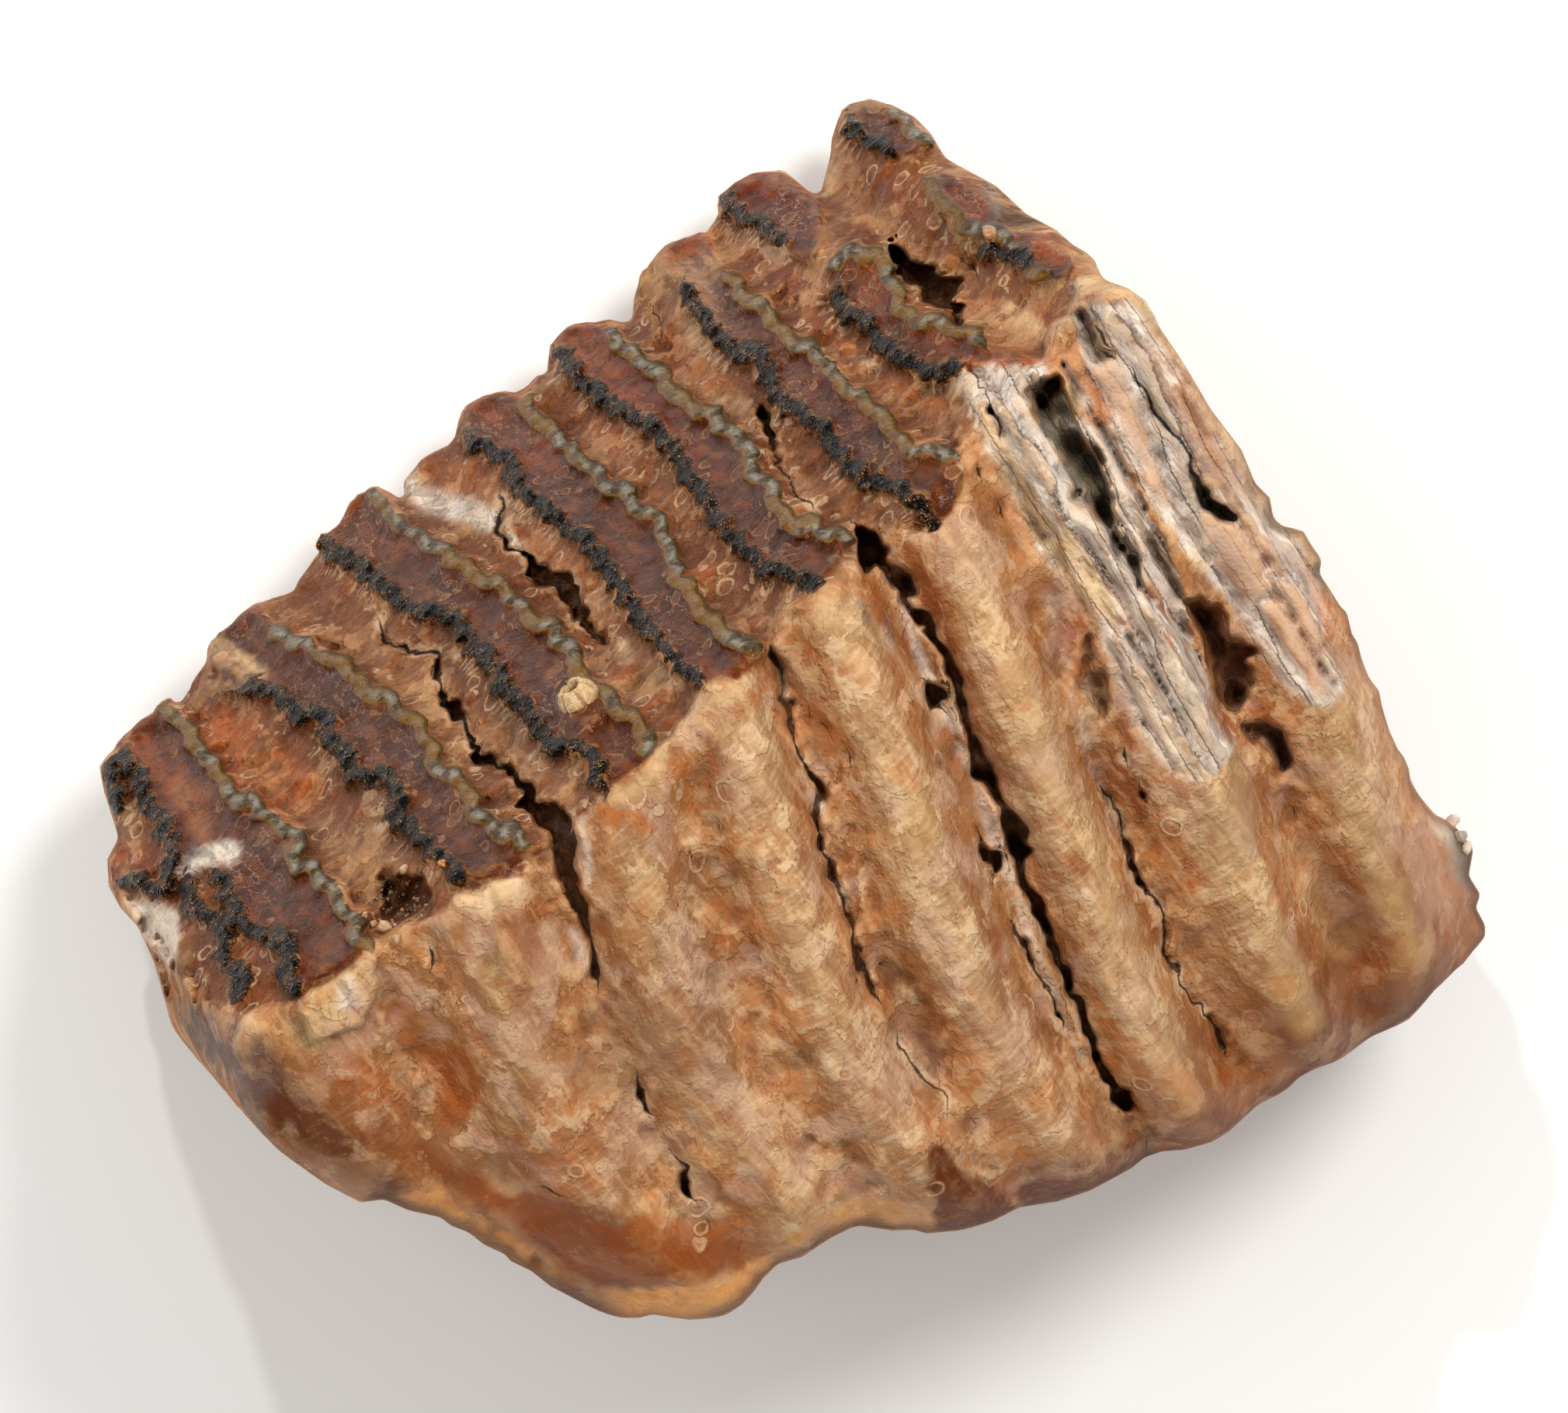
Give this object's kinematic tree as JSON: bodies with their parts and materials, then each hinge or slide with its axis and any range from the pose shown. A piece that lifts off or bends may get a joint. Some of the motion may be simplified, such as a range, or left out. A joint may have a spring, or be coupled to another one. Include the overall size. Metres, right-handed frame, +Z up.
{
  "type": "fossil mammoth molar",
  "caption": "Fossil mammoth molar lying on its side: a wedge of fused enamel plates with a worn ridged chewing face, ribbed side and open drying cracks, resting on a small worn flat.",
  "frame": {"origin": "middle of the lying tooth's outline, on the surface that it rests on", "axes": "+Z up from the flat spot it lies on, +X along the tooth's long way from the worn front end to the tall rear end, +Y towards the chewing face"},
  "size_m": [0.1598, 0.1388, 0.1082],
  "materials": {
    "fossil_tooth": "mineralised tooth: brown dentine, black and blue-grey enamel lines and ochre cementum, worn to a wet-looking gloss",
    "shell": "cream lime shell, smooth and slightly glossy"
  },
  "bodies": {
    "root": {"molar": "fossil_tooth", "barnacle_shell": "shell"}
  },
  "joints": []
}
